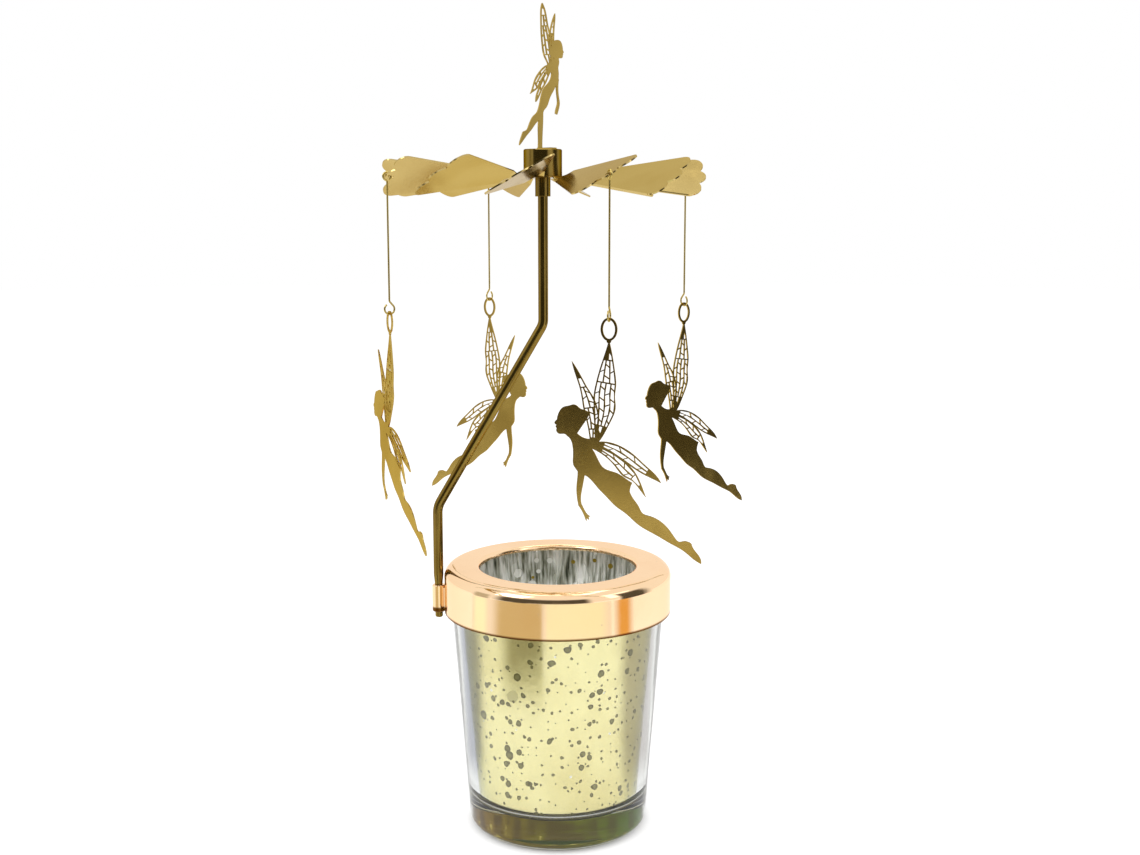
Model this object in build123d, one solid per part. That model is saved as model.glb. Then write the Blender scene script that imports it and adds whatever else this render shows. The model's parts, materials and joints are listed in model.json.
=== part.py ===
from build123d import *
import math
import os

# Fairy carousel on a votive glass. Heat from a candle in the glass turns a rotor that is balanced
# on a needle at the top of a cranked rod, and four flat figures hang from the rotor on wires.
# Millimetres, +Z up. The origin is on the table, on the axis of the glass. +X is towards the side
# away from the rod, and the rod's foot is on the -X side.

# Votive glass
glass_height = 76.5
glass_top_radius = 31.7
glass_base_radius = 26.0
glass_wall = 2.4
glass_floor = 8.5
glass_base_edge = 3.0
glass_floor_edge = 4.0
glass_rim_edge = 1.1

# Cap ring on the rim of the glass
cap_side_clearance = 0.5
cap_mouth_radius = 22.7
cap_sheet = 0.8
cap_edge_radius = 3.0
cap_skirt = 13.4
cap_lip = 1.6
cap_lip_edge = 1.2
cap_seat_clearance = 0.3

# Support rod and the socket on the skirt that takes its foot
rod_radius = 1.4
rod_tail_radius = 1.1
rod_gap_to_skirt = 0.4
rod_taper_length = 3.0
rod_tail_nub = 1.8
rod_low_bend_above_cap = 16.9
rod_high_bend_above_cap = 69.9
rod_low_bend_radius = 7.0
rod_high_bend_radius = 5.0
rod_top_edge = 0.3
socket_wall = 0.75
socket_length = 8.0
socket_below_skirt = 0.9
socket_web_width = 2.4
socket_fit = 0.05
socket_lip_edge = 0.25
rod_seat_clearance = 0.1

# Rotor: flat middle, twisted necks and tilted vanes
rotor_axis_x = -4.0
rotor_above_cap = 110.9
rotor_sheet = 0.4
rotor_disc_radius = 12.6
vane_count = 12
vane_first_azimuth = -7.0
vane_tilt = 29.0
vane_neck_length = 3.4
vane_root_width = 6.2
vane_neck_width = 4.2
vane_tip_radius = 45.5
vane_end_drop = 3.3
vane_end_width = 20.8
vane_lobes = 3
vane_lobe_notch = 0.9
vane_corner_round = 2.4

# Hub: cap above the rotor, sleeve below it, bearing and needle inside
hub_radius = 5.4
hub_height = 7.6
hub_edge = 0.25
sleeve_clearance = 0.28
sleeve_wall = 0.47
sleeve_shoulder = 0.2
sleeve_drop = 5.0
sleeve_spigot_height = 4.0
sleeve_lip_edge = 0.15
bearing_height = 1.6
bearing_dish_depth = 0.9
bearing_dish_radius = 1.0
needle_radius = 0.6
needle_seat = 4.0
needle_point_length = 2.2
needle_point_radius = 0.08
needle_gap = 0.05
rod_top_below_rotor = 1.5

# Hanger wires
wire_radius = 0.25
hanger_count = 4
hanger_first_azimuth = -67.0
hanger_eye_radius = 1.1
hanger_eye_bend = 0.6
hanger_eye_open = 54.0
hook_eye_radius = 1.4
hook_eye_bend = 0.7
hook_eye_flare = 42.0
hook_eye_gap = 0.9
hanger_hole_clearance = 0.45
hanger_edge_inset = 0.55

# Hanging figures: one flat sheet each, with a ring on the tip of the tall wing
figure_sheet = 0.4
figure_drop = 61.5
figure_span = 41.0
figure_ring_below_rotor = 36.0
figure_ring_width = 4.4
figure_ring_height = 6.0
figure_ring_strip = 0.6
figure_ring_clearance = 0.06
figure_turns = (52.0, 13.0, 32.0, 94.0)
figure_lean = 3.0

# Wing veins of every figure
vein_width = 0.34
vein_smallest_opening = 0.25
vein_slant_share = 0.2

# Standing figure on the hub
standing_height = 39.3
standing_span = 18.4
standing_azimuth = 50.0
standing_foot_x = -0.7
standing_foot_y = 0.7
standing_tab_length = 5.2
standing_tab_width = 2.4

# Overrun for cuts that pass right through
overrun = 1.0

# Places that follow from the sizes above
cap_radius = glass_top_radius + cap_side_clearance + cap_sheet
cap_top = glass_height + cap_seat_clearance + cap_sheet
skirt_bottom = cap_top - cap_skirt
rod_foot_x = -(cap_radius + rod_gap_to_skirt + rod_radius)
socket_bottom = skirt_bottom - socket_below_skirt
socket_top = socket_bottom + socket_length
rod_shoulder = socket_top + rod_seat_clearance
rod_low_bend = cap_top + rod_low_bend_above_cap
rod_high_bend = cap_top + rod_high_bend_above_cap
rotor_height = cap_top + rotor_above_cap
rod_top = rotor_height - rotor_sheet / 2 - rod_top_below_rotor
vane_root_radius = rotor_disc_radius + vane_neck_length
vane_corner_radius = vane_tip_radius - vane_end_drop
sleeve_bore_radius = rod_radius + sleeve_clearance
sleeve_radius = sleeve_bore_radius + sleeve_wall
sleeve_spigot_radius = sleeve_radius - sleeve_shoulder
hub_bottom = rotor_height + rotor_sheet / 2
hub_top = hub_bottom + hub_height
bearing_bottom = hub_bottom + sleeve_spigot_height
dish_top = bearing_bottom + bearing_dish_depth
needle_tip = dish_top - needle_gap
hanger_radius = vane_tip_radius - hanger_edge_inset
hanger_hole_at = hanger_radius - hanger_eye_radius
hanger_hole_radius = wire_radius + hanger_hole_clearance
figure_ring_top = rotor_height - figure_ring_below_rotor
ring_inner_top = figure_ring_top - figure_ring_strip
hook_bottom = ring_inner_top - figure_ring_clearance - wire_radius
half_turn = 180.0
full_turn = 360.0

# Outlines of the hanging figure. Each point is a share of figure_span and of figure_drop, counted
# from the top of the ring: across towards the feet, and down.
flying_body_shares = (
    ((-0.231, -0.512), (-0.206, -0.526), (-0.191, -0.552), (-0.184, -0.600), (-0.178, -0.635),
     (-0.160, -0.651), (-0.137, -0.671)),
    ((-0.137, -0.671), (-0.095, -0.675), (-0.013, -0.721), (0.050, -0.758), (0.113, -0.794),
     (0.175, -0.818), (0.259, -0.860), (0.385, -0.899), (0.479, -0.928), (0.563, -0.953),
     (0.626, -0.982), (0.680, -1.000)),
    ((0.680, -1.000), (0.661, -0.966), (0.628, -0.942), (0.611, -0.920)),
    ((0.611, -0.920), (0.584, -0.911), (0.554, -0.912), (0.533, -0.916), (0.498, -0.898),
     (0.458, -0.866), (0.395, -0.834), (0.327, -0.819), (0.288, -0.812), (0.259, -0.784),
     (0.221, -0.753), (0.196, -0.726)),
    ((0.196, -0.726), (0.199, -0.705), (0.209, -0.686)),
    ((0.209, -0.686), (0.160, -0.669), (0.107, -0.651), (0.060, -0.644), (0.020, -0.635),
     (-0.022, -0.600), (-0.061, -0.560)),
    ((-0.061, -0.560), (-0.040, -0.548), (-0.020, -0.530)),
    ((-0.020, -0.530), (-0.030, -0.516), (-0.055, -0.512)),
    ((-0.055, -0.512), (-0.102, -0.516), (-0.165, -0.498)),
    ((-0.165, -0.498), (-0.137, -0.466), (-0.109, -0.435), (-0.091, -0.410)),
    ((-0.091, -0.410), (-0.122, -0.396), (-0.156, -0.390), (-0.179, -0.379), (-0.202, -0.376),
     (-0.227, -0.382), (-0.264, -0.390), (-0.290, -0.412), (-0.302, -0.446)),
    ((-0.302, -0.446), (-0.316, -0.463), (-0.303, -0.469)),
    ((-0.303, -0.469), (-0.308, -0.477), (-0.300, -0.483)),
    ((-0.300, -0.483), (-0.301, -0.496), (-0.284, -0.506), (-0.258, -0.505), (-0.231, -0.512)),
)
flying_arm_shares = (
    ((-0.149, -0.657), (-0.149, -0.695), (-0.151, -0.734), (-0.145, -0.769), (-0.132, -0.807)),
    ((-0.132, -0.807), (-0.109, -0.827), (-0.091, -0.848)),
    ((-0.091, -0.848), (-0.075, -0.872)),
    ((-0.075, -0.872), (-0.072, -0.858)),
    ((-0.072, -0.858), (-0.058, -0.865)),
    ((-0.058, -0.865), (-0.061, -0.852)),
    ((-0.061, -0.852), (-0.049, -0.849)),
    ((-0.049, -0.849), (-0.078, -0.837), (-0.097, -0.818), (-0.112, -0.802)),
    ((-0.112, -0.802), (-0.119, -0.778), (-0.114, -0.734), (-0.106, -0.695), (-0.101, -0.663)),
    ((-0.101, -0.663), (-0.149, -0.657)),
)

# Each wing is its leading edge and its trailing edge, both from the tip to the root, and its zones of
# openings: where along the wing a zone starts and ends, its rows, and its columns.
flying_wings_shares = (
    (((0.008, -0.091), (-0.015, -0.154), (-0.039, -0.211), (-0.060, -0.275), (-0.071, -0.332),
      (-0.065, -0.390), (-0.057, -0.453), (-0.047, -0.522)),
     ((0.008, -0.091), (0.039, -0.167), (0.057, -0.224), (0.069, -0.281), (0.066, -0.332),
      (0.074, -0.370), (0.060, -0.415), (0.037, -0.450), (0.004, -0.498), (-0.022, -0.526)),
     ((0.07, 0.20, 1, 2), (0.20, 0.42, 2, 3), (0.42, 0.84, 4, 4), (0.84, 0.97, 1, 3))),
    (((-0.225, -0.193), (-0.196, -0.249), (-0.162, -0.307), (-0.143, -0.358), (-0.128, -0.402),
      (-0.109, -0.440), (-0.093, -0.479), (-0.080, -0.522)),
     ((-0.225, -0.193), (-0.160, -0.253), (-0.107, -0.307), (-0.071, -0.339), (-0.045, -0.377),
      (-0.028, -0.421), (-0.032, -0.472), (-0.042, -0.522)),
     ((0.22, 0.34, 1, 1), (0.34, 0.60, 2, 2), (0.60, 0.86, 2, 3), (0.86, 0.97, 1, 2))),
    (((0.393, -0.674), (0.364, -0.648), (0.280, -0.603), (0.207, -0.565), (0.113, -0.533),
      (0.039, -0.522), (-0.055, -0.531)),
     ((0.393, -0.674), (0.343, -0.661), (0.290, -0.648), (0.217, -0.625), (0.154, -0.600),
      (0.081, -0.572), (0.008, -0.550), (-0.065, -0.545)),
     ((0.07, 0.22, 1, 1), (0.22, 0.86, 3, 2))),
    (((0.301, -0.741), (0.259, -0.679), (0.217, -0.635), (0.165, -0.604), (0.092, -0.573),
      (0.018, -0.552), (-0.065, -0.540)),
     ((0.301, -0.741), (0.243, -0.698), (0.207, -0.677), (0.154, -0.663), (0.094, -0.624),
      (0.039, -0.591), (-0.008, -0.572), (-0.065, -0.556)),
     ((0.17, 0.32, 1, 1), (0.32, 0.86, 3, 2))),
)

# Outlines of the standing figure. Each point is a share of standing_span and of standing_height,
# counted from the standing foot: across towards the face, and up.
standing_body_shares = (
    ((0.424, 0.630), (0.432, 0.601), (0.414, 0.569), (0.424, 0.533), (0.421, 0.500), (0.428, 0.478)),
    ((0.428, 0.478), (0.391, 0.459), (0.348, 0.437)),
    ((0.348, 0.437), (0.287, 0.396), (0.226, 0.359), (0.179, 0.315), (0.136, 0.285),
     (0.089, 0.267), (0.061, 0.241)),
    ((0.061, 0.241), (0.059, 0.192), (0.047, 0.112), (0.038, 0.000)),
    ((0.038, 0.000), (-0.052, 0.000)),
    ((-0.052, 0.000), (-0.045, 0.069), (-0.049, 0.134), (-0.040, 0.191)),
    ((-0.040, 0.191), (-0.118, 0.164), (-0.212, 0.121), (-0.329, 0.075), (-0.419, 0.034),
     (-0.475, 0.011)),
    ((-0.475, 0.011), (-0.456, 0.047), (-0.424, 0.076), (-0.400, 0.101)),
    ((-0.400, 0.101), (-0.353, 0.112), (-0.315, 0.118), (-0.264, 0.150), (-0.212, 0.191),
     (-0.160, 0.218), (-0.080, 0.244), (-0.042, 0.273), (-0.009, 0.315), (0.005, 0.341)),
    ((0.005, 0.341), (0.028, 0.372), (0.056, 0.398), (0.108, 0.427), (0.179, 0.453),
     (0.235, 0.483), (0.259, 0.511), (0.240, 0.547)),
    ((0.240, 0.547), (0.193, 0.567), (0.169, 0.591)),
    ((0.169, 0.591), (0.259, 0.608), (0.315, 0.628)),
    ((0.315, 0.628), (0.301, 0.649), (0.292, 0.678), (0.282, 0.707), (0.296, 0.736),
     (0.344, 0.756), (0.405, 0.762), (0.471, 0.754), (0.512, 0.722), (0.522, 0.694)),
    ((0.522, 0.694), (0.541, 0.680), (0.523, 0.674)),
    ((0.523, 0.674), (0.529, 0.666), (0.518, 0.660)),
    ((0.518, 0.660), (0.517, 0.648), (0.494, 0.638), (0.458, 0.638), (0.424, 0.630)),
)
standing_arm_shares = (
    ((0.428, 0.489), (0.414, 0.431), (0.424, 0.373), (0.447, 0.319), (0.428, 0.283), (0.391, 0.241)),
    ((0.391, 0.241), (0.348, 0.246)),
    ((0.348, 0.246), (0.367, 0.283), (0.395, 0.315), (0.386, 0.373), (0.369, 0.431), (0.362, 0.475)),
    ((0.362, 0.475), (0.428, 0.489)),
)
standing_wings_shares = (
    (((0.052, 1.000), (0.024, 0.967), (0.016, 0.902), (0.024, 0.793), (0.052, 0.699),
      (0.075, 0.656), (0.129, 0.616), (0.200, 0.576)),
     ((0.052, 1.000), (0.141, 0.924), (0.184, 0.851), (0.235, 0.793), (0.287, 0.721),
      (0.306, 0.663), (0.300, 0.616), (0.280, 0.569)),
     ((0.09, 0.20, 1, 1), (0.20, 0.36, 1, 2), (0.36, 0.80, 3, 3), (0.80, 0.95, 1, 2))),
    (((0.344, 0.942), (0.282, 0.888), (0.235, 0.830), (0.212, 0.779), (0.221, 0.707),
      (0.240, 0.649), (0.249, 0.576)),
     ((0.344, 0.942), (0.344, 0.895), (0.329, 0.844), (0.320, 0.779), (0.315, 0.707),
      (0.306, 0.649), (0.290, 0.576)),
     ((0.14, 0.40, 2, 1), (0.40, 0.90, 2, 2))),
    (((-0.226, 0.369), (-0.179, 0.408), (-0.118, 0.473), (-0.024, 0.524), (0.071, 0.560),
      (0.146, 0.578), (0.259, 0.587)),
     ((-0.226, 0.369), (-0.146, 0.389), (-0.061, 0.412), (0.014, 0.460), (0.094, 0.504),
      (0.169, 0.540), (0.259, 0.560)),
     ((0.14, 0.30, 1, 1), (0.30, 0.84, 2, 2))),
    (((-0.101, 0.317), (-0.094, 0.357), (-0.056, 0.396), (0.000, 0.438), (0.071, 0.489),
      (0.146, 0.533), (0.259, 0.576)),
     ((-0.101, 0.317), (-0.052, 0.340), (-0.005, 0.373), (0.052, 0.412), (0.127, 0.453),
      (0.193, 0.504), (0.264, 0.547)),
     ((0.16, 0.80, 3, 1),)),
)


def make_glass_cup():
    """Tumbler with a thick base, a rounded rim and straight, flared walls."""
    inner_base = glass_base_radius - glass_wall
    inner_top = glass_top_radius - glass_wall
    outline = Polyline(
        (0, 0),
        (glass_base_radius, 0),
        (glass_top_radius, glass_height),
        (inner_top, glass_height),
        (inner_base, glass_floor),
        (0, glass_floor),
        close=True,
    )
    profile = make_face(outline)
    for corner, radius in (
        ((glass_base_radius, 0), glass_base_edge),
        ((glass_top_radius, glass_height), glass_rim_edge),
        ((inner_top, glass_height), glass_rim_edge),
        ((inner_base, glass_floor), glass_floor_edge),
    ):
        profile = fillet(profile.vertices().sort_by_distance(corner)[0], radius)
    return revolve(Plane.XZ * profile, Axis.Z)


def make_cap_ring():
    """Pressed ring: flat top with a turned-down lip round the mouth, and a skirt."""
    inside = cap_radius - cap_sheet
    under = cap_top - cap_sheet
    lip_radius = cap_mouth_radius + cap_sheet
    lip_bottom = cap_top - cap_lip
    outline = Polyline(
        (cap_mouth_radius, lip_bottom),
        (cap_mouth_radius, cap_top),
        (cap_radius, cap_top),
        (cap_radius, skirt_bottom),
        (inside, skirt_bottom),
        (inside, under),
        (lip_radius, under),
        (lip_radius, lip_bottom),
        close=True,
    )
    profile = make_face(outline)
    outer = profile.vertices().sort_by_distance((cap_radius, cap_top))[0]
    profile = fillet(outer, cap_edge_radius)
    inner = profile.vertices().sort_by_distance((inside, under))[0]
    profile = fillet(inner, cap_edge_radius - cap_sheet)
    mouth = profile.vertices().sort_by_distance((cap_mouth_radius, cap_top))[0]
    profile = fillet(mouth, cap_lip_edge)
    return revolve(Plane.XZ * profile, Axis.Z)


def make_rod_socket():
    """Sleeve with a web that is soldered to the outside of the skirt."""
    outer_radius = rod_tail_radius + socket_fit + socket_wall
    reach = cap_radius + rod_foot_x
    sleeve = Pos(rod_foot_x, 0, socket_bottom) * extrude(Circle(outer_radius), socket_length)
    lips = sleeve.edges().filter_by(GeomType.CIRCLE)
    sleeve = chamfer(lips, socket_lip_edge)
    web_height = socket_top - socket_wall - skirt_bottom
    web = Pos(rod_foot_x, 0, skirt_bottom) * extrude(
        Rectangle(outer_radius - reach, socket_web_width, align=(Align.MIN, Align.CENTER)), web_height)
    skirt = Pos(0, 0, skirt_bottom) * extrude(Circle(cap_radius), cap_skirt)
    bore = Pos(rod_foot_x, 0, socket_bottom) * extrude(Circle(rod_tail_radius + socket_fit), socket_length)
    return sleeve + web - skirt - bore


def make_support_rod():
    """Rod with two bends, a tapered foot with a thin tail, and a hole for the needle."""
    taper_top = rod_shoulder + rod_taper_length
    path = FilletPolyline(
        (rod_foot_x, 0, taper_top),
        (rod_foot_x, 0, rod_low_bend),
        (rotor_axis_x, 0, rod_high_bend),
        (rotor_axis_x, 0, rod_top),
        radius=(rod_low_bend_radius, rod_high_bend_radius),
    )
    bar = sweep(Pos(rod_foot_x, 0, taper_top) * Circle(rod_radius), path=path)
    top_edge = bar.edges().filter_by(GeomType.CIRCLE).sort_by(Axis.Z)[-1]
    bar = chamfer(top_edge, rod_top_edge)
    foot = Pos(rod_foot_x, 0, rod_shoulder + rod_taper_length / 2)
    taper = foot * Cone(rod_tail_radius, rod_radius, rod_taper_length)
    tail_bottom = socket_bottom - rod_tail_nub
    tail = Pos(rod_foot_x, 0, tail_bottom) * extrude(Circle(rod_tail_radius), rod_shoulder - tail_bottom)
    tail = fillet(tail.edges().sort_by(Axis.Z)[0], rod_tail_radius / 2)
    hole = Pos(rotor_axis_x, 0, rod_top - needle_seat) * extrude(Circle(needle_radius), needle_seat + overrun)
    return bar + taper + tail - hole


def make_pivot_pin():
    """Hard needle in the top end of the rod."""
    bottom = rod_top - needle_seat
    shank_top = needle_tip - needle_point_length
    outline = Polyline(
        (0, bottom),
        (needle_radius, bottom),
        (needle_radius, shank_top),
        (needle_point_radius, needle_tip),
        (0, needle_tip),
        close=True,
    )
    return Pos(rotor_axis_x, 0, 0) * revolve(Plane.XZ * make_face(outline), Axis.Z)


def make_hub_cap():
    """Turned cap on the rotor, with a blind hole for the sleeve's spigot and the bearing."""
    cap = Pos(rotor_axis_x, 0, hub_bottom) * extrude(Circle(hub_radius), hub_height)
    cap = chamfer(cap.edges().filter_by(GeomType.CIRCLE), hub_edge)
    depth = sleeve_spigot_height + bearing_height
    hole = Pos(rotor_axis_x, 0, hub_bottom - overrun)
    return cap - hole * extrude(Circle(sleeve_spigot_radius), depth + overrun)


def make_hub_sleeve():
    """Tube under the rotor, with a spigot that goes up through the rotor into the cap."""
    under = rotor_height - rotor_sheet / 2
    outline = Polyline(
        (sleeve_bore_radius, under - sleeve_drop),
        (sleeve_radius, under - sleeve_drop),
        (sleeve_radius, under),
        (sleeve_spigot_radius, under),
        (sleeve_spigot_radius, bearing_bottom),
        (sleeve_bore_radius, bearing_bottom),
        close=True,
    )
    profile = make_face(outline)
    lip = profile.vertices().sort_by_distance((sleeve_radius, under - sleeve_drop))[0]
    profile = fillet(lip, sleeve_lip_edge)
    return Pos(rotor_axis_x, 0, 0) * revolve(Plane.XZ * profile, Axis.Z)


def make_bearing_cup():
    """Plug with a dish in its underside, which rides on the needle."""
    plug = Pos(rotor_axis_x, 0, bearing_bottom) * extrude(Circle(sleeve_spigot_radius), bearing_height)
    dish_middle = bearing_bottom + bearing_dish_depth / 2
    dish = Pos(rotor_axis_x, 0, dish_middle) * Cone(bearing_dish_radius, needle_point_radius, bearing_dish_depth)
    return plug - dish


def vane_section(radius, width, tilt):
    """Cross-section of the sheet at one radius, turned about the vane's middle line."""
    across = Plane(origin=(radius, 0, 0), x_dir=(0, 1, 0), z_dir=(1, 0, 0))
    return across * Rot(0, 0, tilt) * Rectangle(width, rotor_sheet)


def make_vane():
    """One vane along +X with its middle line at height zero: twisted neck and lobed blade."""
    neck = loft([
        vane_section(rotor_disc_radius, vane_neck_width, 0),
        vane_section(vane_root_radius, vane_root_width, vane_tilt),
    ], ruled=True)
    half_root = vane_root_width / 2
    half_end = vane_end_width / 2
    lobe_width = vane_end_width / vane_lobes

    def notch(step):
        across = -half_end + step * lobe_width
        outer = abs(across) > lobe_width
        along = vane_corner_radius if outer else vane_tip_radius - vane_lobe_notch - vane_end_drop / 3
        return (along, across)

    def crest(step):
        across = -half_end + (step + 1 / 2) * lobe_width
        middle = abs(across) < lobe_width / 2
        return (vane_tip_radius if middle else vane_tip_radius - vane_end_drop / 3, across)

    edges = [Line((vane_root_radius, -half_root), notch(0))]
    for step in range(vane_lobes):
        edges.append(ThreePointArc(notch(step), crest(step), notch(step + 1)))
    edges.append(Line(notch(vane_lobes), (vane_root_radius, half_root)))
    edges.append(Line((vane_root_radius, half_root), (vane_root_radius, -half_root)))
    outline = make_face(edges)
    for step in (0, vane_lobes):
        outline = fillet(outline.vertices().sort_by_distance(notch(step))[0], vane_corner_round)
    blade = extrude(outline, rotor_sheet / 2, both=True)
    return neck + Rot(vane_tilt, 0, 0) * blade


def hanger_azimuth(index):
    return hanger_first_azimuth + index * full_turn / hanger_count


def make_rotor_blades():
    """Flat middle with a vane on each of its sides, and holes for the hub and the wires."""
    middle = RegularPolygon(rotor_disc_radius, vane_count, major_radius=False,
                            rotation=vane_first_azimuth + half_turn / vane_count)
    sheet = extrude(middle, rotor_sheet / 2, both=True)
    vane = make_vane()
    vanes = [Rot(0, 0, vane_first_azimuth + index * full_turn / vane_count) * vane
             for index in range(vane_count)]
    holes = [extrude(Circle(sleeve_spigot_radius), rotor_sheet, both=True)]
    for index in range(hanger_count):
        hole = Rot(vane_tilt, 0, 0) * extrude(Circle(hanger_hole_radius), rotor_sheet, both=True)
        holes.append(Rot(0, 0, hanger_azimuth(index)) * Pos(hanger_hole_at, 0, 0) * hole)
    return Pos(rotor_axis_x, 0, rotor_height) * ((sheet + vanes) - holes)


def eye_path(start, turn_sign, bend, flare, leg, eye, sweep_angle):
    """Open eye at the end of a straight wire, in a plane whose Y runs along the wire.

    From start the wire bends aside by flare, runs straight for leg, and goes round the eye.
    """
    side = math.radians(flare)
    first_centre = (bend, start)
    bent = (bend - bend * math.cos(side), start + bend * math.sin(side))
    along = (bent[0] + leg * math.sin(side), bent[1] + leg * math.cos(side))
    centre = (along[0] - eye * math.cos(side), along[1] + eye * math.sin(side))
    edges = [CenterArc(first_centre, bend, half_turn, -flare)]
    if leg > 0:
        edges.append(Line(bent, along))
    edges.append(CenterArc(centre, eye, -flare, sweep_angle))
    return [edge if turn_sign > 0 else edge.mirror(Plane.XZ) for edge in edges]


def tube(path, start, direction):
    """Round wire along a path."""
    return sweep(Plane(origin=start, z_dir=direction) * Circle(wire_radius), path=path)


def make_hanger_wire(turn):
    """Wire along Z with its top eye centred on the origin, eye plane XZ, and a hook below.

    The hook's plane is turned so that the figure's ring hangs square in it.
    """
    eye_flare = math.degrees(math.acos(hanger_eye_bend / (hanger_eye_bend + hanger_eye_radius)))
    eye_rise = (hanger_eye_bend + hanger_eye_radius) * math.sin(math.radians(eye_flare))
    wire_top = -eye_rise
    round_angle = full_turn - hanger_eye_open
    top = eye_path(wire_top, 1, hanger_eye_bend, eye_flare, 0, hanger_eye_radius, round_angle)
    top_wire = Plane.XZ * Wire(top)
    top_eye = tube(top_wire, (0, 0, wire_top), (0, 0, 1))

    flare = math.radians(hook_eye_flare)
    leg = (hook_eye_radius * math.cos(flare) - hook_eye_bend * (1 - math.cos(flare))) / math.sin(flare)
    reach = hook_eye_bend * math.sin(flare) + leg * math.cos(flare) + hook_eye_radius * math.sin(flare)
    hook_centre = hook_bottom + hook_eye_radius - rotor_height
    wire_bottom = hook_centre + reach
    hook = eye_path(-wire_bottom, -1, hook_eye_bend, hook_eye_flare, leg, hook_eye_radius,
                    half_turn + hook_eye_flare + hook_eye_flare)
    back_length = leg - hook_eye_gap
    last = hook[-1]
    end = last @ 1
    heading = last % 1
    hook.append(Line(end, end + heading * back_length))
    hook_wire = Plane.XZ * Wire(hook)
    hook_eye = tube(hook_wire, (0, 0, wire_bottom), (0, 0, -1))

    straight = Pos(0, 0, wire_bottom) * extrude(Circle(wire_radius), wire_top - wire_bottom)
    return top_eye + straight + Rot(0, 0, turn + half_turn / 2) * hook_eye


def closed_outline(runs, span, rise):
    """Face inside a chain of smooth runs that meet at corners."""
    edges = []
    for run in runs:
        points = [(across * span, up * rise) for across, up in run]
        edges.append(Line(*points) if len(points) < 3 else Spline(*points))
    return make_face(edges)


def wing_cell(leading, trailing, near, far, sides, inset):
    """Four-sided opening between two cross veins and two long veins of a wing.

    near and far each give a cross vein's place along the wing on its leading and on its trailing side.
    """
    def corner(along, side, inward):
        a = leading @ along
        b = trailing @ along
        return a + (b - a) * (side + inward / (a - b).length)

    left, right = sides
    points = [
        corner(near[0], left, inset[0]), corner(near[1], right, -inset[1]),
        corner(far[1], right, -inset[1]), corner(far[0], left, inset[0]),
    ]
    return make_face(Polyline(*points, close=True))


def wing_zone(leading, trailing, start, end, rows, columns):
    """Openings of one zone of a wing, with the rows of every second column set half a row on."""
    gap = vein_width / leading.length / 2
    pitch = (end - start) / rows
    cells = []
    for column in range(columns):
        odd = column % 2
        slant = vein_slant_share * pitch * (odd - 1 / 2)
        marks = [(start, start)]
        for row in range(1 - odd, rows):
            along = start + pitch * (row + odd / 2)
            marks.append((along - slant, along + slant))
        marks.append((end, end))
        sides = (column / columns, (column + 1) / columns)
        inset = (vein_width if column == 0 else vein_width / 2,
                 vein_width if column == columns - 1 else vein_width / 2)
        for near, far in zip(marks, marks[1:]):
            near = (near[0] + gap, near[1] + gap)
            far = (far[0] - gap, far[1] - gap)
            narrowest = min(((leading @ along) - (trailing @ along)).length for along in near + far)
            if narrowest / columns - sum(inset) > vein_smallest_opening:
                cells.append(wing_cell(leading, trailing, near, far, sides, inset))
    return cells


def make_wing(leading_run, trailing_run, zones, span, rise):
    """Leaf-shaped wing with a net of veins."""
    leading = Spline(*[(across * span, up * rise) for across, up in leading_run])
    trailing = Spline(*[(across * span, up * rise) for across, up in trailing_run])
    wing = make_face([leading, Line(leading @ 1, trailing @ 1), trailing])
    cells = []
    for zone in zones:
        cells += wing_zone(leading, trailing, *zone)
    return wing - cells


def figure_sheet_from(body_runs, arm_runs, wings, span, rise):
    """Flat figure in the XY plane, before it is thickened."""
    flat = make_wing(*wings[0], span, rise)
    for wing in wings[1:]:
        flat = flat + make_wing(*wing, span, rise)
    return flat + closed_outline(body_runs, span, rise) + closed_outline(arm_runs, span, rise)


def stand_up(flat):
    """Thicken a flat figure and stand it in the XZ plane."""
    return Rot(half_turn / 2, 0, 0) * extrude(flat, figure_sheet / 2, both=True)


def make_flying_figure():
    """Flying figure that hangs from the origin by its ring, feet towards +X."""
    figure = figure_sheet_from(flying_body_shares, flying_arm_shares, flying_wings_shares,
                               figure_span, figure_drop)
    outer = Ellipse(figure_ring_width / 2, figure_ring_height / 2)
    inner = Ellipse(figure_ring_width / 2 - figure_ring_strip, figure_ring_height / 2 - figure_ring_strip)
    middle = -figure_ring_height / 2
    ring = Pos(0, middle) * (outer - inner)
    root = Pos(0, -figure_ring_height) * Circle(figure_ring_strip)
    root = root - Pos(0, middle) * inner
    return stand_up(Rot(0, 0, -figure_lean) * figure + ring + root)


def make_standing_figure():
    """Figure that stands on the hub, with its foot folded into a flat tab."""
    flat = figure_sheet_from(standing_body_shares, standing_arm_shares, standing_wings_shares,
                             standing_span, standing_height)
    figure = Pos(0, 0, figure_sheet) * stand_up(flat)
    tab = Pos(0, figure_sheet / 2, 0) * extrude(
        Rectangle(standing_tab_width, standing_tab_length, align=(Align.CENTER, Align.MAX)), figure_sheet)
    place = Pos(rotor_axis_x + standing_foot_x, standing_foot_y, hub_top)
    return place * Rot(0, 0, standing_azimuth) * (figure + tab)


def hang(index, shape, height):
    """Place a shape that hangs on the hanger circle."""
    azimuth = hanger_azimuth(index)
    return Pos(rotor_axis_x, 0, height) * Rot(0, 0, azimuth) * Pos(hanger_radius, 0, 0) * shape


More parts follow.
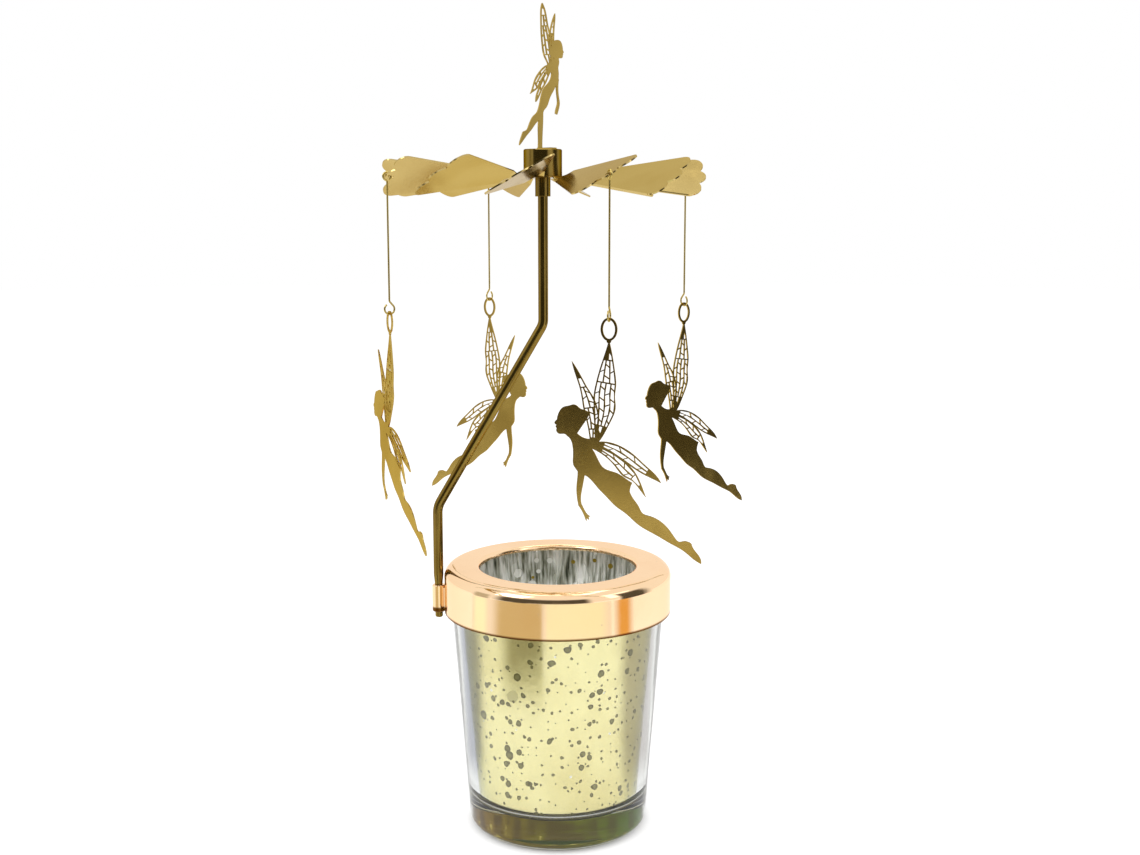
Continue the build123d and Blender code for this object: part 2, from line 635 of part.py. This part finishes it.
def make_parts():
    parts = {
        "glass_cup": make_glass_cup(),
        "cap_ring": make_cap_ring(),
        "rod_socket": make_rod_socket(),
        "support_rod": make_support_rod(),
        "pivot_pin": make_pivot_pin(),
        "hub_cap": make_hub_cap(),
        "hub_sleeve": make_hub_sleeve(),
        "bearing_cup": make_bearing_cup(),
        "rotor_blades": make_rotor_blades(),
        "top_fairy": make_standing_figure(),
    }
    flying = make_flying_figure()
    for index, turn in enumerate(figure_turns):
        label = index + 1
        parts[f"hanger_wire_{label}"] = hang(index, make_hanger_wire(turn), rotor_height)
        parts[f"fairy_{label}"] = hang(index, Rot(0, 0, turn) * flying, figure_ring_top)
    return parts


os.makedirs("parts", exist_ok=True)
for name, shape in make_parts().items():
    export_step(shape, f"parts/{name}.step")
    print(name, round(shape.volume, 3))
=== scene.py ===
# %% [markdown]
# # A fairy carousel on a mercury-glass votive
# A candle in the glass warms the air, the air turns a rotor of brass vanes, and four flat figures
# hang from the rotor on wires. The metal and glass solids come from the CAD model and stay where
# they are. This notebook gives each of them its finish, adds the silvering inside the glass, and
# lights the whole as for a catalogue. All lengths are in metres, +Z is up, and the origin is on
# the table under the middle of the glass.

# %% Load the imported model
import json
import math

import bmesh
import bpy
from mathutils import Matrix, Vector


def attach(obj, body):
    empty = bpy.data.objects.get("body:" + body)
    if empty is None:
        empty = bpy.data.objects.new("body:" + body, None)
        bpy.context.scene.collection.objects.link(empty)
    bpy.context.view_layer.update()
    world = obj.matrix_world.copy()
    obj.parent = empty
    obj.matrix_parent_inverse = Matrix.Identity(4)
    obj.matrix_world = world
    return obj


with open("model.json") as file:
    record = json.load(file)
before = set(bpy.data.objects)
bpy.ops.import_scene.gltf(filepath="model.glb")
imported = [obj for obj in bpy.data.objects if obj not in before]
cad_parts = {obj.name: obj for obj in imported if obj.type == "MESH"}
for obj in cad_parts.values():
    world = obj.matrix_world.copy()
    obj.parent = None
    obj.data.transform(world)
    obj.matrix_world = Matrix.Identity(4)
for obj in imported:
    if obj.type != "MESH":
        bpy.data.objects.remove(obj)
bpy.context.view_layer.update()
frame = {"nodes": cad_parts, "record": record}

nodes = frame["nodes"]

# %% [markdown]
# ## Camera
# The photograph looks from a little above the rim of the glass, from close by. A camera is a place,
# a direction and a lens. Its numbers were found by matching the rims, the bends of the rod and the
# hub to the photograph, with the lens axis left straight, so that other views need no correction.

# %% Put the camera in front
camera_data = bpy.data.cameras.new("catalogue_camera")
camera_data.lens = 44.44
camera_data.clip_start = 0.01
camera = bpy.data.objects.new("catalogue_camera", camera_data)
camera.location = (0.00361, -0.400, 0.180)
camera.rotation_euler = (math.radians(90 - 8.85), 0, 0)
bpy.context.scene.collection.objects.link(camera)
bpy.context.scene.camera = camera
bpy.context.scene.view_settings.view_transform = "Standard"
print("camera at", [round(part, 4) for part in camera.location])

# %% [markdown]
# ## Writing shaders as sums
# A procedural finish is a net of nodes. Written out one node at a time it gets long, so two small
# classes shorten it. Value wraps a socket, and a sum of Values adds the Math nodes it needs.
# Finish holds one material, and its method add makes every other node from its type, its settings
# and what goes into its sockets.

# %% Value and Finish


class Value:
    """A node's output. Sums, products and powers of it add Math nodes."""

    def __init__(self, finish, socket):
        self.finish = finish
        self.socket = socket

    def math(self, operation, first, second):
        return self.finish.add("ShaderNodeMath", {"operation": operation}, {0: first, 1: second})

    def __add__(self, other):
        return self.math("ADD", self, other)

    def __sub__(self, other):
        return self.math("SUBTRACT", self, other)

    def __rsub__(self, other):
        return self.math("SUBTRACT", other, self)

    def __mul__(self, other):
        return self.math("MULTIPLY", self, other)

    def __truediv__(self, other):
        return self.math("DIVIDE", self, other)

    def __pow__(self, other):
        return self.math("POWER", self, other)

    __radd__ = __add__
    __rmul__ = __mul__


class Finish:
    """A new material. Every node but the sums comes from add."""

    def __init__(self, name):
        self.material = bpy.data.materials.new(name)
        self.material.use_nodes = True
        self.tree = self.material.node_tree
        self.tree.nodes.clear()
        self.place = self.add("ShaderNodeTexCoord", output="Object")

    def add(self, kind, settings=None, inputs=None, output=0):
        node = self.tree.nodes.new(kind)
        for name, setting in (settings or {}).items():
            if name == "stops":
                stops = node.color_ramp.elements
                while len(stops) < len(setting):
                    stops.new(1)
                for stop, (position, colour) in zip(stops, setting):
                    stop.position = position
                    stop.color = colour
            else:
                setattr(node, name, setting)
        for name, given in (inputs or {}).items():
            if isinstance(given, Value):
                self.tree.links.new(given.socket, node.inputs[name])
            else:
                node.inputs[name].default_value = given
        return Value(self, node.outputs[output]) if node.outputs else None

    def mix(self, first, second, share):
        """Two colours, with share of the second."""
        return self.add("ShaderNodeMix", {"data_type": "RGBA"}, {0: share, 6: first, 7: second}, 2)

    def step(self, value, low, high):
        """Soft step from 0 at low to 1 at high."""
        return self.add("ShaderNodeMapRange", {"interpolation_type": "SMOOTHSTEP"},
                        {"Value": value, "From Min": low, "From Max": high})

    def stretched(self, scale, turn=(0, 0, 0)):
        """Place on the piece, scaled by an amount for each axis."""
        return self.add("ShaderNodeMapping", inputs={"Vector": self.place, "Rotation": turn, "Scale": scale})

    def noise(self, size, place=None, detail=3.0, output=0):
        """Cloudy noise whose lumps are about size metres across."""
        return self.add("ShaderNodeTexNoise", inputs={
            "Vector": place or self.place, "Scale": 1 / size, "Detail": detail}, output=output)

    def bump(self, height, depth, normal=None):
        """Normal of a surface raised by up to depth metres."""
        inputs = {"Height": height, "Distance": depth, "Strength": 1.0}
        if normal:
            inputs["Normal"] = normal
        return self.add("ShaderNodeBump", inputs=inputs)

    def surface(self, **inputs):
        """Principled shader as the material's surface. Underscores stand for spaces."""
        shader = self.add("ShaderNodeBsdfPrincipled", inputs={
            name.replace("_", " "): given for name, given in inputs.items()})
        self.add("ShaderNodeOutputMaterial", inputs={"Surface": shader})
        return self.material


def colour(red, green, blue):
    """Colour given as 0 to 255, as the linear light that shaders use."""
    light = []
    for part in (red, green, blue):
        share = part / 255
        light.append(share / 12.92 if share <= 0.04045 else ((share + 0.055) / 1.055) ** 2.4)
    return (*light, 1.0)


print("a mid grey of 188 is", round(colour(188, 188, 188)[0], 2), "in linear light")

# %% [markdown]
# ## Floor, backdrop and light
# A catalogue picture has a seamless white table and soft light from all round. The floor is a plain
# disc that still takes the object's shadow, and glows a little for the camera and in reflections,
# so that it stays white without more light on the object. The glow fades out under the glass and
# just round it, which paints the shadow that darkens a real table there. Polished metal and glass
# show what stands round them, so the room matters more than the lamps: it is white, with a few
# cards that only reflections or refractions can see.

# %% World that is white to look at and plain as a light
world = bpy.data.worlds.new("white_room")
bpy.context.scene.world = world
world.use_nodes = True
room = world.node_tree
room.nodes.clear()
path = room.nodes.new("ShaderNodeLightPath")
seen = room.nodes.new("ShaderNodeMath")
seen.operation = "MAXIMUM"
room.links.new(path.outputs["Is Camera Ray"], seen.inputs[0])
mirrored = room.nodes.new("ShaderNodeMath")
mirrored.operation = "MAXIMUM"
room.links.new(path.outputs["Is Glossy Ray"], mirrored.inputs[0])
room.links.new(path.outputs["Is Transmission Ray"], mirrored.inputs[1])
room.links.new(mirrored.outputs[0], seen.inputs[1])
level = room.nodes.new("ShaderNodeMapRange")
level.inputs["To Min"].default_value = 0.5
level.inputs["To Max"].default_value = 1.0
room.links.new(seen.outputs[0], level.inputs["Value"])
background = room.nodes.new("ShaderNodeBackground")
room.links.new(level.outputs[0], background.inputs["Strength"])
background.inputs["Color"].default_value = (1, 1, 1, 1)
output = room.nodes.new("ShaderNodeOutputWorld")
room.links.new(background.outputs[0], output.inputs["Surface"])
print("world strength 0.5 for plain light, 1 where it is seen")

# %% Object from a bmesh


def piece_from(bm, name, *materials):
    """New object at the origin from a bmesh, with smooth faces that meet at sharp edges."""
    for face in bm.faces:
        face.smooth = True
    for edge in bm.edges:
        edge.smooth = len(edge.link_faces) < 2 or edge.calc_face_angle() < math.radians(35)
    mesh = bpy.data.meshes.new(name)
    bm.to_mesh(mesh)
    bm.free()
    for material in materials:
        mesh.materials.append(material)
    piece = bpy.data.objects.new(name, mesh)
    bpy.context.scene.collection.objects.link(piece)
    print(name, len(mesh.vertices), "vertices,", len(mesh.polygons), "faces")
    return piece


# %% Floor that keeps the shadow
TABLE_RADIUS = 3.0
TABLE_GAP = 0.0001
TABLE_GLOW = 0.76
DARK_WITHIN = 0.021
WHITE_BEYOND = 0.0285
table = Finish("white_table")
rays = table.add("ShaderNodeLightPath", output="Is Camera Ray")
glossy_ray = Value(table, rays.socket.node.outputs["Is Glossy Ray"])
clear_ray = Value(table, rays.socket.node.outputs["Is Transmission Ray"])
looked_at = table.add("ShaderNodeMath", {"operation": "MINIMUM"}, {0: rays + glossy_ray + clear_ray, 1: 1.0})
off_axis = table.add("ShaderNodeVectorMath", {"operation": "LENGTH"}, {0: table.place}, "Value")
# Painted shadow: the glow fades out between these two radii, so the table is dark under the glass.
outside_painted_shadow = table.step(off_axis, DARK_WITHIN, WHITE_BEYOND)
plain_paint = table.add("ShaderNodeBsdfDiffuse", inputs={"Color": (0.55, 0.55, 0.55, 1)})
glow = table.add("ShaderNodeEmission", inputs={
    "Color": (1, 1, 1, 1), "Strength": looked_at * TABLE_GLOW * outside_painted_shadow})
both = table.add("ShaderNodeAddShader", inputs={0: plain_paint, 1: glow})
table.add("ShaderNodeOutputMaterial", inputs={"Surface": both})

bm = bmesh.new()
bmesh.ops.create_circle(bm, cap_ends=True, segments=96, radius=TABLE_RADIUS)
bmesh.ops.translate(bm, vec=(0, 0, -TABLE_GAP), verts=bm.verts)
floor = piece_from(bm, "floor", table.material)

# %% Soft lamps


def lamp(name, place, target, size, power):
    """Square soft box that faces target."""
    data = bpy.data.lights.new(name, "AREA")
    data.size = size
    data.energy = power
    box = bpy.data.objects.new(name, data)
    box.location = place
    box.rotation_euler = (Vector(target) - Vector(place)).to_track_quat("-Z", "Y").to_euler()
    bpy.context.scene.collection.objects.link(box)


MIDDLE = (0, 0, 0.11)
lamp("key_box", (-0.75, -0.55, 0.95), MIDDLE, 0.6, 3.5)
lamp("fill_box", (0.95, -0.35, 0.6), MIDDLE, 0.7, 1.5)
lamp("top_box", (0.0, 0.15, 1.2), MIDDLE, 0.8, 3.0)

# A weak light lifts the inside of the cup, which the soft boxes hardly reach.
weak_light = bpy.data.lights.new("light_in_the_cup", "POINT")
weak_light.energy = 0.012
weak_light.shadow_soft_size = 0.006
in_cup = bpy.data.objects.new("light_in_the_cup", weak_light)
in_cup.location = (0, 0.004, 0.052)
in_cup.visible_camera = False
bpy.context.scene.collection.objects.link(in_cup)

# %% Cards that only reflections or refractions see


def card(name, azimuths, near, far, tone, soft, rays, end_tone=None, glints=None):
    """Part of a cone, a cylinder or a flat ring round the object that glows from tone to end_tone.

    near and far are (radius, height), and soft is the width of the fade to white at the two ends in
    degrees and along the card as a share of its length. rays names the only rays that see it.
    Where glints is given, waves of noise dim the card in places and turn their crests to that tone.
    """
    finish = Finish(name)
    parts = finish.add("ShaderNodeSeparateXYZ", inputs={0: finish.place}, output="X")
    deep = Value(finish, parts.socket.node.outputs["Y"])
    high = Value(finish, parts.socket.node.outputs["Z"])
    azimuth = finish.add("ShaderNodeMath", {"operation": "ARCTAN2"}, {0: deep, 1: parts}) * math.degrees(1)
    run = (far[0] - near[0], far[1] - near[1])
    if abs(run[0]) > abs(run[1]):
        along = ((parts * parts + deep * deep) ** 0.5 - near[0]) / run[0]
    else:
        along = (high - near[1]) / run[1]
    start, end = azimuths
    inside = finish.step(azimuth, start, start + soft[0]) * (1 - finish.step(azimuth, end - soft[1], end))
    inside = inside * finish.step(along, 0, soft[2]) * (1 - finish.step(along, 1 - soft[3], 1))
    shown = finish.mix(tone, end_tone or tone, finish.step(azimuth, start, end))
    if glints:
        waves = finish.noise(0.07, finish.stretched((1, 1, 2.5)), detail=4.0)
        troughs = finish.step(waves, 0.60, 0.40)
        dim_tone = tuple(part * 0.25 for part in tone[:3]) + (1.0,)
        shown = finish.mix(shown, dim_tone, troughs * 0.7)
        shown = finish.mix(shown, glints, finish.step(waves, 0.62, 0.68))
    shown = finish.mix((1, 1, 1, 1), shown, inside)
    finish.add("ShaderNodeOutputMaterial", inputs={
        "Surface": finish.add("ShaderNodeEmission", inputs={"Color": shown})})

    bm = bmesh.new()
    turn = Matrix.Rotation(math.radians(start), 3, "Z")
    ends = [bm.verts.new(turn @ Vector((radius, 0, height))) for radius, height in (near, far)]
    bm.edges.new(ends)
    bmesh.ops.spin(bm, geom=bm.verts[:] + bm.edges[:], cent=(0, 0, 0), axis=(0, 0, 1), dvec=(0, 0, 0),
                   angle=math.radians(end - start), steps=max(4, int((end - start) / 4)), use_merge=False,
                   use_duplicate=False)
    piece = piece_from(bm, name, finish.material)
    for kind in ("camera", "diffuse", "glossy", "transmission", "volume_scatter", "shadow"):
        setattr(piece, "visible_" + kind, kind in rays)


# %% [markdown]
# ### What the metal and glass show
# Dark screens in front and on the right give the rod its black edges and the figures their shade,
# and the gap between the two draws the bright line down the rod. Low cards lie on the table, where
# the cap and the silvering mirror them. The last two groups are seen only through clear glass. A ray
# that enters the thick base from the front is thrown up by its underside and leaves at the back, so
# a dark wall there makes the base dark, amber on the left and green on the right. The same wall
# stands in front for views from behind.

# %% Dark screens for the rod, the hub and the figures
LOW = 0.0002
DARK = (0.09, 0.085, 0.07, 1)
MIRRORED = ("glossy",)
SEEN_THROUGH = ("transmission",)
BOTH_KINDS = MIRRORED + SEEN_THROUGH


def floor_card(name, azimuths, radii, tone, soft, rays):
    """Card that lies just above the table between two radii."""
    card(name, azimuths, (radii[0], LOW), (radii[1], LOW), tone, soft, rays)


card("front_screen", (-156, -55), (0.58, 0), (0.60, 0.46), DARK, (14, 8, 0.02, 0.35), MIRRORED)
card("right_screen", (-29, 14), (0.40, 0), (0.42, 0.40), DARK, (4, 16, 0.02, 0.3), MIRRORED)
card("left_screen", (-179, -157), (0.5, 0), (0.52, 0.3), (0.55, 0.53, 0.45, 1), (5, 4, 0.02, 0.3), MIRRORED)
floor_card("front_floor", (-150, -60), (0.44, 0.58), (0.82, 0.77, 0.60, 1), (20, 20, 0.5, 0.02), MIRRORED)

# %% Low cards that the cap and the glass reflect
for row in (
    ("tan_patch", (-157, -102), (0.19, 0.38), (0.66, 0.56, 0.32, 1), (14, 4, 0.1, 0.2), BOTH_KINDS),
    ("olive_patch", (-155, -104), (0.104, 0.185), (0.30, 0.28, 0.20, 1), (18, 3, 0.3, 0.1), BOTH_KINDS),
    ("amber_patch", (-35, -13), (0.19, 0.34), (0.85, 0.46, 0.10, 1), (8, 8, 0.3, 0.3), MIRRORED),
    ("yellow_left", (-179, -157), (0.19, 0.38), (1.15, 1.25, 1.05, 1), (6, 8, 0.1, 0.1), BOTH_KINDS),
    ("yellow_front", (-102, -38), (0.19, 0.38), (1.08, 1.16, 0.95, 1), (4, 12, 0.3, 0.1), BOTH_KINDS),
):
    floor_card(*row)

# %% Grey floor and sides that give the clear glass its edges
floor_card("back_floor", (52, 128), (0.034, 0.50), (0.20, 0.20, 0.17, 1), (8, 8, 0.02, 0.3), SEEN_THROUGH)
floor_card("left_side", (128, 180), (0.034, 0.34), (0.42, 0.43, 0.49, 1), (10, 14, 0.1, 0.3), SEEN_THROUGH)
floor_card("right_side", (-18, 52), (0.034, 0.34), (0.56, 0.53, 0.52, 1), (14, 10, 0.1, 0.3), SEEN_THROUGH)

# %% Dark walls that give the thick base its colours
AMBER = (0.20, 0.10, 0.0, 1)
GREEN = (0.05, 0.13, 0.0, 1)
GLINTS = (0.60, 0.50, 0.12, 1)
for name, azimuths in (("back_wall", (12, 168)), ("front_wall", (-172, -8))):
    card(name, azimuths, (0.50, 0.05), (0.52, 0.46), AMBER, (14, 14, 0.1, 0.2), SEEN_THROUGH,
         end_tone=GREEN, glints=GLINTS)

# %% [markdown]
# ## Plated metal
# The carousel's metal is pressed brass with a thin plating. Real plate is never one colour: the tone
# drifts over a few centimetres, fine lines run the way the sheet was rolled or the wire was drawn,
# and there are small dark pits, and finger marks that change only the gloss. The cap's lower edge is
# darkened, partly tarnish and partly painted shade where the skirt meets the glass. One function
# makes all the plated finishes from a base tone, a worn tone and the direction of the grain, so they
# stay related.

# %% Function for plated metal


def plated_metal(name, tone, worn_tone, gloss, grain, grain_depth=0.000004, pits=0.25, paler=0.15,
                 shaded_edge_height=None):
    """Metal whose grain is a scale for each axis, with gloss as the roughness (smoothest, roughest).

    At a flat angle brass stays yellow, so the tint for such angles is only part of the way, the
    share called paler, from the tone to white. The last argument is the height of a lower edge that
    is darkened, partly tarnish and partly painted shade.
    """
    metal = Finish(name)
    clouds = metal.step(metal.noise(0.022), 0.38, 0.66)
    lines = metal.noise(0.001, metal.stretched(grain), detail=4.0)
    smudge = metal.step(metal.noise(0.009, detail=5.0), 0.45, 0.72)
    cell = metal.add("ShaderNodeTexVoronoi", inputs={"Vector": metal.place, "Scale": 1 / 0.0042})
    chance = metal.add("ShaderNodeSeparateColor", inputs={
        0: Value(metal, cell.socket.node.outputs["Color"])})
    pit = (1 - metal.step(cell, 0.02, 0.055)) * metal.step(chance, 1 - pits, 1 - pits + 0.02)
    tone_now = metal.mix(tone, worn_tone, clouds * 0.55 + (lines - 0.5) * 0.6)
    pit_tone = tuple(part * 0.35 for part in worn_tone[:3]) + (1.0,)
    tone_now = metal.mix(tone_now, pit_tone, pit * 0.8)
    if shaded_edge_height:
        height = metal.add("ShaderNodeSeparateXYZ", inputs={0: metal.place}, output="Z")
        # Partly tarnish, partly painted shade where the skirt meets the glass: dark brown up to 0.9 mm above
        # the edge.
        tarnish_and_shade = 1 - metal.step(height, shaded_edge_height + 0.0002, shaded_edge_height + 0.0009)
        tone_now = metal.mix(tone_now, colour(104, 66, 20), tarnish_and_shade)
    low, high = gloss
    roughness = low + (high - low) * (smudge * 0.6 + lines * 0.4) + pit * 0.2
    normal = metal.bump(lines, grain_depth)
    normal = metal.bump(1 - pit, 0.00003, normal)
    pale_tone = tuple(paler + (1 - paler) * part for part in tone[:3]) + (1.0,)
    return metal.surface(Base_Color=tone_now, Metallic=1.0, Roughness=roughness, Specular_Tint=pale_tone,
                         Normal=normal)


# %% The plated finishes
SKIRT_BOTTOM = 0.0642
rose_gold = plated_metal("rose_gold_plate", colour(254, 221, 180), colour(250, 212, 168),
                         (0.06, 0.16), (1, 1, 14), grain_depth=0.000002, pits=0.4, paler=0.6,
                         shaded_edge_height=SKIRT_BOTTOM)
dark_gold = plated_metal("dark_gold_plate", colour(142, 118, 58), colour(112, 90, 42),
                         (0.12, 0.26), (9, 9, 0.6))
pale_gold = plated_metal("pale_gold_sheet", colour(200, 177, 118), colour(182, 156, 96),
                         (0.10, 0.22), (9, 1, 9), pits=0.12, paler=0.2)
etched_gold = plated_metal("etched_gold_sheet", colour(188, 160, 86), colour(164, 135, 66),
                           (0.13, 0.24), (1, 1, 9), pits=0.1, paler=0.35)
dark_wire = plated_metal("dark_drawn_wire", colour(205, 184, 112), colour(160, 138, 76),
                         (0.18, 0.34), (2, 2, 0.2), grain_depth=0.000001, pits=0.2)
needle_steel = plated_metal("ground_needle_steel", colour(205, 205, 208), colour(170, 170, 175),
                            (0.14, 0.26), (9, 9, 9))
finishes = {"rose_gold": rose_gold, "dark_gold": dark_gold, "pale_gold": pale_gold,
            "etched_gold": etched_gold, "dark_wire": dark_wire, "needle_steel": needle_steel}
print("plated finishes:", ", ".join(sorted(finishes)))

# %% [markdown]
# ## Clear glass
# The votive is pressed soda glass, clear, with a thick base. It needs real refraction: at the sides
# the light bends round the wall and shows the bright edge that tells the eye it is glass. The mould
# leaves the surface slightly wavy, and handling leaves faint dull patches.

# %% Finish of the glass
glass = Finish("clear_votive_glass")
ripple = glass.noise(0.012, detail=2.0)
marks = glass.step(glass.noise(0.02, detail=6.0), 0.5, 0.75)
clear_glass = glass.surface(
    Base_Color=(0.965, 0.985, 0.955, 1), Roughness=0.004 + marks * 0.03, IOR=1.5,
    Transmission_Weight=1.0, Normal=glass.bump(ripple, 0.00004))
finishes["mercury_glass"] = clear_glass

# %% Give each CAD node its finish
for part in frame["record"]["subparts"]:
    mesh = nodes[part["node"]].data
    mesh.materials.clear()
    mesh.materials.append(finishes[part["material_slot"]])

# %% [markdown]
# ## Silvering inside the glass
# Mercury glass is a clear glass with a mirror of silver on the inside. Drops of solvent eat small
# round holes in it, and the gold comes from tinted lacquer behind the glass. The mirror is a film,
# far too thin for the CAD model, so it is made here: a profile of the inner wall is spun round,
# its corner bevelled as the floor's corner is, and the film given a wall of a tenth of a millimetre.
# On the floor it lies in the glass, so that the thick base shows it directly. On the wall it stands
# just clear of the glass, which leaves the clear edge that the real one has at both sides.

# %% Shape of the silvering
FLOOR_RADIUS_INSIDE = 0.0236
TOP_RADIUS_INSIDE = 0.0293
FLOOR_HEIGHT = 0.0085
RIM_HEIGHT = 0.0765
CORNER = 0.004
FILM = 0.0001
WALL_GAP = 0.00006
film_top = RIM_HEIGHT - 0.0014
slope = (TOP_RADIUS_INSIDE - FLOOR_RADIUS_INSIDE) / (RIM_HEIGHT - FLOOR_HEIGHT)
bm = bmesh.new()
profile = [bm.verts.new(point) for point in (
    (0, 0, FLOOR_HEIGHT - FILM),
    (FLOOR_RADIUS_INSIDE - WALL_GAP, 0, FLOOR_HEIGHT - FILM),
    (FLOOR_RADIUS_INSIDE - WALL_GAP + slope * (film_top - FLOOR_HEIGHT), 0, film_top))]
for start, end in zip(profile, profile[1:]):
    bm.edges.new((start, end))
bmesh.ops.spin(bm, geom=bm.verts[:] + bm.edges[:], cent=(0, 0, 0), axis=(0, 0, 1), dvec=(0, 0, 0),
               angle=math.tau, steps=160, use_merge=True, use_duplicate=False)
bmesh.ops.remove_doubles(bm, verts=bm.verts, dist=1e-6)
ring = [edge for edge in bm.edges if all(
    abs(vert.co.z - FLOOR_HEIGHT + FILM) < 1e-6 and vert.co.xy.length > FLOOR_RADIUS_INSIDE * 0.9
    for vert in edge.verts)]
bmesh.ops.bevel(bm, geom=ring, offset=CORNER * math.tan(math.radians(42.6)), segments=10, profile=0.5,
                affect="EDGES", material=-1, offset_type="OFFSET")
bmesh.ops.recalc_face_normals(bm, faces=bm.faces)
outward = [face for face in bm.faces if abs(face.normal.z) < 0.5]
facing = sum(face.normal.dot(Vector((*face.calc_center_median().xy, 0))) for face in outward)
if facing < 0:
    bmesh.ops.reverse_faces(bm, faces=bm.faces)
bmesh.ops.solidify(bm, geom=bm.faces, thickness=FILM)
print("film spans z", round(min(v.co.z for v in bm.verts) * 1000, 2), "to",
      round(max(v.co.z for v in bm.verts) * 1000, 2), "mm, radius",
      round(max(v.co.xy.length for v in bm.verts) * 1000, 2))

# %% The film rolled out flat
UNROLLED_RADIUS = 0.027


def rolled_out(finish):
    """Place on the film as a flat sheet: round from the front, and up the wall from the floor's middle."""
    across = finish.add("ShaderNodeSeparateXYZ", inputs={0: finish.place}, output="X")
    deep = Value(finish, across.socket.node.outputs["Y"])
    high = Value(finish, across.socket.node.outputs["Z"])
    angle = finish.add("ShaderNodeMath", {"operation": "ARCTAN2"}, {0: across, 1: 0 - deep})
    away = (across * across + deep * deep) ** 0.5
    floor_part = finish.add("ShaderNodeMath", {"operation": "MINIMUM"}, {0: away, 1: FLOOR_RADIUS_INSIDE})
    return finish.add("ShaderNodeCombineXYZ", inputs={0: angle * UNROLLED_RADIUS, 1: high + floor_part})


def speckles(finish, flat, cell_size, radius, share):
    """Round holes of varied size in a flat sheet: (mask, dark rim)."""
    cell = finish.add("ShaderNodeTexVoronoi", {"voronoi_dimensions": "2D"}, {
        "Vector": flat, "Scale": 1 / cell_size, "Randomness": 0.85})
    parts = finish.add("ShaderNodeSeparateColor", inputs={
        0: Value(finish, cell.socket.node.outputs["Color"])})
    luck = Value(finish, parts.socket.node.outputs["Green"])
    size = radius / cell_size * (0.35 + 0.65 * parts ** 2.0)
    away = cell / size
    there = finish.step(luck, 1 - share, 1 - share + 0.01)
    mask = (1 - finish.step(away, 0.88, 1.0)) * there
    rim = finish.step(away, 0.35, 0.9) * mask
    return mask, rim


def larger(finish, first, second):
    return finish.add("ShaderNodeMath", {"operation": "MAXIMUM"}, {0: first, 1: second})


# %% Speckled gold side
gold_side = Finish("gold_mirror_film")
flat = rolled_out(gold_side)
wobble = gold_side.noise(0.0022, detail=2.0, output="Color")
shift = gold_side.add("ShaderNodeVectorMath", {"operation": "MULTIPLY_ADD"}, {
    0: wobble, 1: (0.0011, 0.0011, 0), 2: flat})
hole, rim = speckles(gold_side, shift, 0.0092, 0.0023, 0.26)
for row in ((0.0046, 0.00120, 0.56), (0.0058, 0.00090, 0.45), (0.0027, 0.00058, 0.55)):
    more, edge = speckles(gold_side, shift, *row)
    hole = larger(gold_side, hole, more)
    rim = larger(gold_side, rim, edge)
# Painted glints: sparse near-white spots stand in for sparkles of light on the silvering.
painted_glint, _ = speckles(gold_side, shift, 0.0125, 0.0009, 0.30)
drift = gold_side.step(gold_side.noise(0.03), 0.35, 0.65)
tint = gold_side.mix(colour(243, 232, 176), colour(228, 214, 152), drift)
hole_grain = gold_side.noise(0.0007, detail=2.0)
hole_tone = gold_side.mix(colour(164, 156, 98), colour(112, 101, 50), rim * 0.8 + hole_grain * 0.3)
gold_tone = gold_side.mix(tint, hole_tone, hole)
gold_tone = gold_side.mix(gold_tone, colour(250, 248, 236), painted_glint)
cloud = gold_side.noise(0.006, detail=3.0)
gold_film = gold_side.surface(
    Base_Color=gold_tone, Metallic=1 - hole * 0.5 - painted_glint * 0.3, Specular_Tint=(0.72, 0.74, 0.50, 1),
    Roughness=0.17 + cloud * 0.12 + hole * 0.2,
    Normal=gold_side.bump(cloud + (1 - hole) * 0.5, 0.00010))

# %% Dark underside of the film, seen through the base
under_side = Finish("film_under_floor")
patches = under_side.step(under_side.noise(0.012, detail=4.0), 0.38, 0.62)
wrinkle = under_side.noise(0.0022, detail=3.0)
# Painted shade and painted glints: the dark amber and green stand in for the shaded table under the glass,
# which this mirror shows, and the bright wrinkle crests for sparkles of light.
painted_under_tone = under_side.mix(colour(150, 108, 34), colour(74, 100, 44), patches)
painted_under_tone = under_side.mix(painted_under_tone, colour(220, 196, 96), under_side.step(wrinkle, 0.66, 0.74))
under_film = under_side.surface(
    Base_Color=painted_under_tone, Metallic=1.0, Specular_Tint=(0.42, 0.40, 0.20, 1), Roughness=0.18 + patches * 0.12,
    Normal=under_side.bump(wrinkle, 0.0003))

# %% Streaked silver side
silver_side = Finish("silver_mirror_film")
flat = rolled_out(silver_side)
runs = silver_side.noise(0.0010, silver_side.stretched((1, 1, 0.10)), detail=4.0)
broad = silver_side.noise(0.004, silver_side.stretched((1, 1, 0.14)), detail=2.0)
spot, _ = speckles(silver_side, flat, 0.0065, 0.0014, 0.45)
# Painted highlights: near-white blobs stand in for reflections of a lamp in the silver; the same blobs also
# raise the bump.
painted_highlight, _ = speckles(silver_side, flat, 0.0042, 0.0018, 0.35)
silver_tone = silver_side.add("ShaderNodeValToRGB", {"stops": [
    (0.34, colour(58, 62, 46)), (0.44, colour(150, 152, 138)), (0.54, colour(220, 222, 216)),
    (0.64, colour(252, 252, 250))]}, {0: runs * 0.7 + broad * 0.3})
silver_tone = silver_side.mix(silver_tone, colour(250, 250, 246), painted_highlight * 0.8)
silver_tone = silver_side.mix(silver_tone, colour(150, 128, 40), spot)
silver_film = silver_side.surface(
    Base_Color=silver_tone, Metallic=0.55, Roughness=0.16 + broad * 0.2,
    Normal=silver_side.bump(runs + painted_highlight * 0.5, 0.00030))

# %% Put the film in the glass
for face in bm.faces:
    centre = face.calc_center_median()
    outside = face.normal.dot(Vector((centre.x, centre.y, 0))) > 0 or face.normal.z < -0.5
    face.material_index = (2 if centre.z < FLOOR_HEIGHT + 0.0005 else 0) if outside else 1
silvering = piece_from(bm, "silvering", gold_film, silver_film, under_film)
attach(silvering, "glass")
